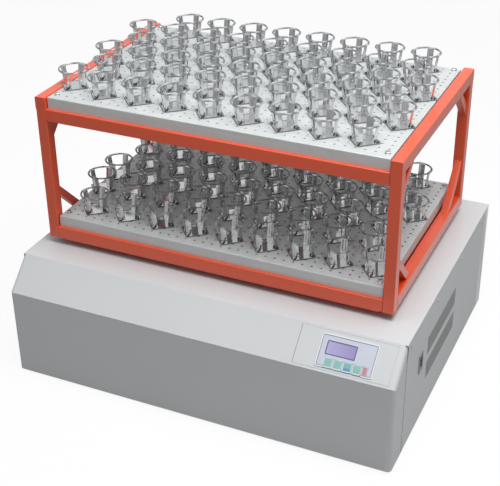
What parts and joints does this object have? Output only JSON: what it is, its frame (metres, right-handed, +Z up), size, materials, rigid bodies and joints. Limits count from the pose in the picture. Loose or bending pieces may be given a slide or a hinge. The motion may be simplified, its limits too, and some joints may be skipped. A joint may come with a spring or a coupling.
{
  "type": "orbital platform shaker",
  "caption": "Wide grey cabinet with a sloping control face, carrying a tiered orange tube frame on orbiting cranks; perforated trays hold rows of sprung flask clamps.",
  "frame": {"origin": "on the floor, under the middle of the cabinet", "axes": "+X to the right along the front, +Y to the back, +Z up"},
  "size_m": [1.104, 0.868, 0.831],
  "materials": {
    "cabinet_paint": "light grey powder coat",
    "floor_steel": "plain zinc-plated sheet",
    "foot_rubber": "black rubber",
    "screw_steel": "plated steel",
    "grille_paint": "mid-grey paint",
    "black_plastic": "black moulded plastic",
    "fascia_plastic": "lavender-grey moulded plastic with a dark edge",
    "display_lens": "pale lavender display",
    "circuit_board": "green board",
    "key_teal": "teal moulded plastic",
    "key_red": "red moulded plastic",
    "chassis_paint": "dark grey paint",
    "housing_iron": "machined cast iron",
    "crank_steel": "ground steel",
    "pulley_aluminium": "turned aluminium",
    "belt_rubber": "black belt rubber",
    "motor_shell": "dark painted shell",
    "controller_case": "grey painted case",
    "frame_paint": "orange enamel",
    "tray_sheet": "perforated sheet, satin",
    "clamp_steel": "bright stainless sheet",
    "spring_steel": "bright coil spring"
  },
  "bodies": {
    "base": {"front_housing": "cabinet_paint", "left_wall": "cabinet_paint", "right_wall": "cabinet_paint", "back_wall": "cabinet_paint", "top_cover": "cabinet_paint", "control_panel": "cabinet_paint", "base_plate": "floor_steel", "rubber_feet": "foot_rubber", "cover_screws": "screw_steel", "vent_grilles": "grille_paint", "mains_inlet": "black_plastic", "switch_housing": "black_plastic", "control_fascia": "fascia_plastic", "display": "display_lens", "control_board": "circuit_board", "crossbeam_left": "chassis_paint", "crossbeam_middle": "chassis_paint", "crossbeam_right": "chassis_paint", "chassis_legs": "chassis_paint", "motor_mount": "chassis_paint", "bearing_housings": "housing_iron", "drive_belt": "belt_rubber", "motor": "motor_shell", "speed_controller": "controller_case"},
    "drive_crank": {"drive_crank": "crank_steel", "counterweight": "housing_iron", "driven_pulley": "pulley_aluminium"},
    "platform": {"carrier_plate": "frame_paint", "frame_posts": "frame_paint", "upper_side_rails": "frame_paint", "lower_side_rails": "frame_paint", "upper_cross_rails": "frame_paint", "lower_cross_rails": "frame_paint", "rail_end_plates": "frame_paint", "corner_braces": "frame_paint", "upper_tray": "tray_sheet", "lower_tray": "tray_sheet", "upper_clamps_front": "clamp_steel", "upper_clamps_middle": "clamp_steel", "upper_clamps_rear": "clamp_steel", "lower_clamps_front": "clamp_steel", "lower_clamps_middle": "clamp_steel", "lower_clamps_rear": "clamp_steel", "upper_clamp_springs": "spring_steel", "lower_clamp_springs": "spring_steel", "tray_bolts": "screw_steel", "carrier_housings": "housing_iron"},
    "idler_front_left": {"idler_crank_front_left": "crank_steel"},
    "idler_front_right": {"idler_crank_front_right": "crank_steel"},
    "idler_rear": {"idler_crank_rear": "crank_steel"},
    "motor_rotor": {"motor_pulley": "pulley_aluminium"},
    "key_1": {"key_1": "key_teal"},
    "key_2": {"key_2": "key_teal"},
    "key_3": {"key_3": "key_teal"},
    "key_4": {"key_4": "key_teal"},
    "stop_key": {"stop_key": "key_red"},
    "power_rocker": {"power_rocker": "black_plastic"}
  },
  "joints": [
    {"name": "drive_crank_turn", "type": "hinge", "parent": "base", "child": "drive_crank", "pos_m": [0, 0.041, 0.3], "axis": [0, 0, 1], "continuous": true},
    {"name": "platform_orbit", "type": "hinge", "parent": "drive_crank", "child": "platform", "pos_m": [-0.01565, 0.04883, 0.375], "axis": [0, 0, 1], "continuous": true},
    {"name": "idler_front_left_turn", "type": "hinge", "parent": "base", "child": "idler_front_left", "pos_m": [-0.34, -0.109, 0.3], "axis": [0, 0, 1], "continuous": true},
    {"name": "idler_front_right_turn", "type": "hinge", "parent": "base", "child": "idler_front_right", "pos_m": [0.34, -0.109, 0.3], "axis": [0, 0, 1], "continuous": true},
    {"name": "idler_rear_turn", "type": "hinge", "parent": "base", "child": "idler_rear", "pos_m": [0, 0.231, 0.3], "axis": [0, 0, 1], "continuous": true},
    {"name": "motor_turn", "type": "hinge", "parent": "base", "child": "motor_rotor", "pos_m": [-0.225, 0.041, 0.166], "axis": [0, 0, 1], "continuous": true},
    {"name": "key_1_press", "type": "slide", "parent": "base", "child": "key_1", "axis": [0, 0.6892, -0.7246], "range_m": [0, 0.001], "stiffness_N_per_m": 600, "springref_m": -0.001},
    {"name": "key_2_press", "type": "slide", "parent": "base", "child": "key_2", "axis": [0, 0.6892, -0.7246], "range_m": [0, 0.001], "stiffness_N_per_m": 600, "springref_m": -0.001},
    {"name": "key_3_press", "type": "slide", "parent": "base", "child": "key_3", "axis": [0, 0.6892, -0.7246], "range_m": [0, 0.001], "stiffness_N_per_m": 600, "springref_m": -0.001},
    {"name": "key_4_press", "type": "slide", "parent": "base", "child": "key_4", "axis": [0, 0.6892, -0.7246], "range_m": [0, 0.001], "stiffness_N_per_m": 600, "springref_m": -0.001},
    {"name": "stop_key_press", "type": "slide", "parent": "base", "child": "stop_key", "axis": [0, 0.6892, -0.7246], "range_m": [0, 0.001], "stiffness_N_per_m": 600, "springref_m": -0.001},
    {"name": "rocker_flip", "type": "hinge", "parent": "base", "child": "power_rocker", "pos_m": [0.53926, -0.222, 0.206], "axis": [0, -1, 0], "range_deg": [0, 20]}
  ],
  "couplings": [
    {"joint": "drive_crank_turn", "follows": "platform_orbit", "ratio": -1},
    {"joint": "idler_front_left_turn", "follows": "platform_orbit", "ratio": -1},
    {"joint": "idler_front_right_turn", "follows": "platform_orbit", "ratio": -1},
    {"joint": "idler_rear_turn", "follows": "platform_orbit", "ratio": -1},
    {"joint": "motor_turn", "follows": "platform_orbit", "ratio": -3.3333}
  ]
}
